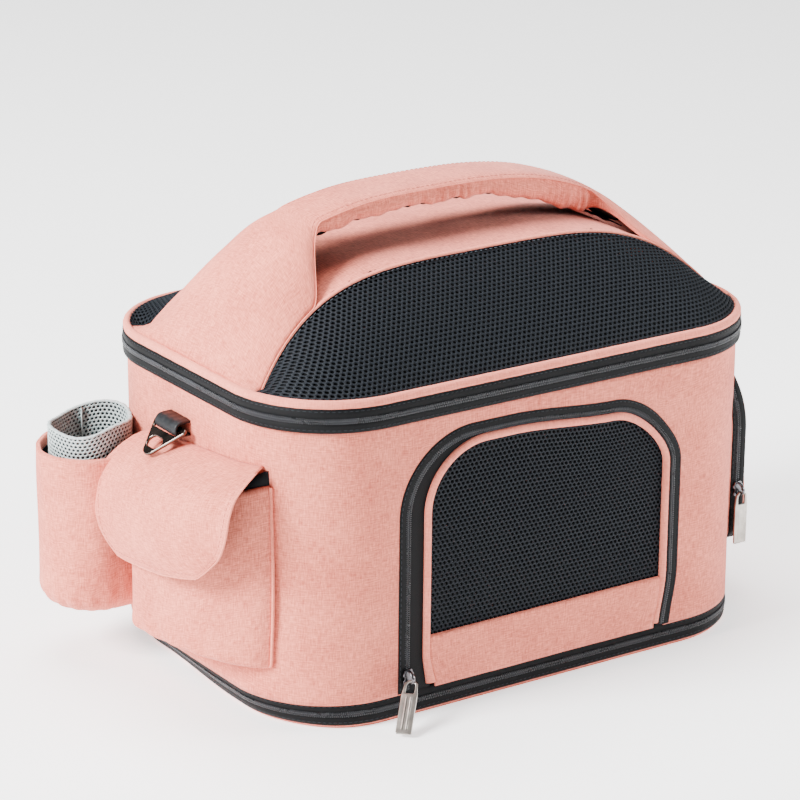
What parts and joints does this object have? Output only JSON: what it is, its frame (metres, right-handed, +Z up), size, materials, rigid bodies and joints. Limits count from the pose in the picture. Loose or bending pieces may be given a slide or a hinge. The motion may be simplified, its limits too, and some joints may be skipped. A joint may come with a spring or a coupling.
{
  "type": "pet carrier bag",
  "caption": "Soft-sided pet carrier with a zip-off base, domed zip lid with mesh sides and padded handle, arched mesh zip door, bottle pocket, flap pocket and zipped end pocket.",
  "frame": {"origin": "centre of the flat base, on the surface that the bag stands on", "axes": "+X along the long side towards the zipped end pocket, +Y to the back, +Z up; the arched door is in the -Y wall"},
  "size_m": [0.5311, 0.3148, 0.342],
  "materials": {
    "pink_cloth": "melange oxford weave, matte",
    "black_mesh": "open spacer net, matte",
    "zip_tape": "woven twill tape, matte",
    "zip_teeth": "nylon coil, semi-matte",
    "lining_cloth": "smooth coated cloth",
    "board": "plain polyethylene sheet",
    "mat_cloth": "brushed plush",
    "grey_mesh": "open spacer net, matte",
    "touch_fastener": "hook and loop",
    "webbing": "rolled tape, smooth",
    "spring_steel": "plain drawn wire",
    "foam": "closed-cell foam",
    "gunmetal": "dark plated, polished",
    "slider_metal": "dark plated die casting",
    "bright_metal": "satin nickel plate"
  },
  "bodies": {
    "base": {"base_skin": "pink_cloth", "base_zip_tape": "zip_tape", "base_zip_coil": "zip_teeth", "base_hinge_tape": "zip_tape", "base_board": "board"},
    "mat": {"floor_mat": "mat_cloth"},
    "shell": {"wall_low_zip_tape": "zip_tape", "wall_low_zip_coil": "zip_teeth", "wall_cloth": "pink_cloth", "wall_lining": "lining_cloth", "front_board": "board", "rear_board": "board", "end_boards": "board", "wall_top_zip_tape": "zip_tape", "wall_top_zip_coil": "zip_teeth", "door_frame_zip_tape": "zip_tape", "door_frame_zip_coil": "zip_teeth", "bottle_pocket": "pink_cloth", "bottle_pocket_binding": "pink_cloth", "bottle_sleeve": "grey_mesh", "flap_pocket": "pink_cloth", "flap_pocket_lining": "lining_cloth", "pocket_loop_pad": "touch_fastener", "left_ring_tab": "webbing", "right_ring_tab": "webbing", "end_pocket_gusset": "pink_cloth", "end_pocket_zip_tape": "zip_tape", "end_pocket_zip_coil": "zip_teeth", "end_pocket_panel": "pink_cloth"},
    "door": {"door_zip_tape": "zip_tape", "door_zip_coil": "zip_teeth", "door_piping": "pink_cloth", "door_mesh": "black_mesh", "door_lower_panel": "pink_cloth"},
    "lid": {"lid_zip_tape": "zip_tape", "lid_zip_coil": "zip_teeth", "lid_hinge_tape": "zip_tape", "rim_piping": "pink_cloth", "rim_wire": "spring_steel", "roof_panel": "pink_cloth", "left_end_panel": "pink_cloth", "right_end_panel": "pink_cloth", "front_lid_mesh": "black_mesh", "rear_lid_mesh": "black_mesh", "handle_cover": "pink_cloth", "handle_foam": "foam", "handle_underside": "lining_cloth"},
    "flap": {"pocket_flap": "pink_cloth", "pocket_flap_lining": "lining_cloth", "flap_hook_pad": "touch_fastener"},
    "left_ring": {"left_ring": "gunmetal"},
    "right_ring": {"right_ring": "gunmetal"},
    "door_slider": {"door_zip_slider": "slider_metal"},
    "door_pull": {"door_zip_pull": "bright_metal"},
    "lid_slider": {"lid_zip_slider": "slider_metal"},
    "lid_pull": {"lid_zip_pull": "gunmetal"},
    "base_slider": {"base_zip_slider": "slider_metal"},
    "base_pull": {"base_zip_pull": "gunmetal"},
    "end_slider": {"end_zip_slider": "slider_metal"},
    "end_pull": {"end_zip_pull": "gunmetal"}
  },
  "joints": [
    {"name": "base_hinge", "type": "hinge", "parent": "base", "child": "shell", "pos_m": [0, 0.138, 0.0105], "axis": [-1, 0, 0], "range_deg": [0, 90]},
    {"name": "lid_hinge", "type": "hinge", "parent": "shell", "child": "lid", "pos_m": [0, 0.142, 0.229], "axis": [-1, 0, 0], "range_deg": [0, 120]},
    {"name": "door_hinge", "type": "hinge", "parent": "shell", "child": "door", "pos_m": [0, -0.138, 0.0185], "axis": [1, 0, 0], "range_deg": [0, 95]},
    {"name": "flap_hinge", "type": "hinge", "parent": "shell", "child": "flap", "pos_m": [-0.2106, 0, 0.183], "axis": [0, 1, 0], "range_deg": [0, 30]},
    {"name": "left_ring_swing", "type": "hinge", "parent": "shell", "child": "left_ring", "pos_m": [-0.217, 0.01, 0.193], "axis": [0, 1, 0], "range_deg": [0, 42]},
    {"name": "right_ring_swing", "type": "hinge", "parent": "shell", "child": "right_ring", "pos_m": [0.217, 0.01, 0.193], "axis": [0, -1, 0], "range_deg": [0, 110]},
    {"name": "mat_lift", "type": "slide", "parent": "base", "child": "mat", "axis": [0, 0, 1], "range_m": [0, 0.2]},
    {"name": "door_zip", "type": "slide", "parent": "door", "child": "door_slider", "axis": [0, 0, 1], "range_m": [0, 0.11]},
    {"name": "door_pull_swing", "type": "hinge", "parent": "door_slider", "child": "door_pull", "pos_m": [-0.116, -0.1445, 0.0292], "axis": [-0.7771, 0.6293, 0], "range_deg": [0, 110]},
    {"name": "lid_zip", "type": "slide", "parent": "lid", "child": "lid_slider", "axis": [0, -1, 0], "range_m": [0, 0.04]},
    {"name": "lid_pull_swing", "type": "hinge", "parent": "lid_slider", "child": "lid_pull", "pos_m": [0.2195, -0.018, 0.2272], "axis": [0, -1, 0], "range_deg": [0, 120]},
    {"name": "base_zip", "type": "slide", "parent": "shell", "child": "base_slider", "axis": [0, -1, 0], "range_m": [0, 0.09]},
    {"name": "base_pull_swing", "type": "hinge", "parent": "base_slider", "child": "base_pull", "pos_m": [0.2155, 0.04, 0.0087], "axis": [0, -1, 0], "range_deg": [0, 55]},
    {"name": "end_zip", "type": "slide", "parent": "shell", "child": "end_slider", "axis": [0, 0, 1], "range_m": [0, 0.04]},
    {"name": "end_pull_swing", "type": "hinge", "parent": "end_slider", "child": "end_pull", "pos_m": [0.2215, -0.0905, 0.0842], "axis": [-1, 0, 0], "range_deg": [0, 120]}
  ],
  "couplings": [
    {"joint": "left_ring_swing", "follows": "flap_hinge", "ratio": 1.35},
    {"joint": "door_pull_swing", "follows": "door_hinge", "ratio": 1.1}
  ]
}
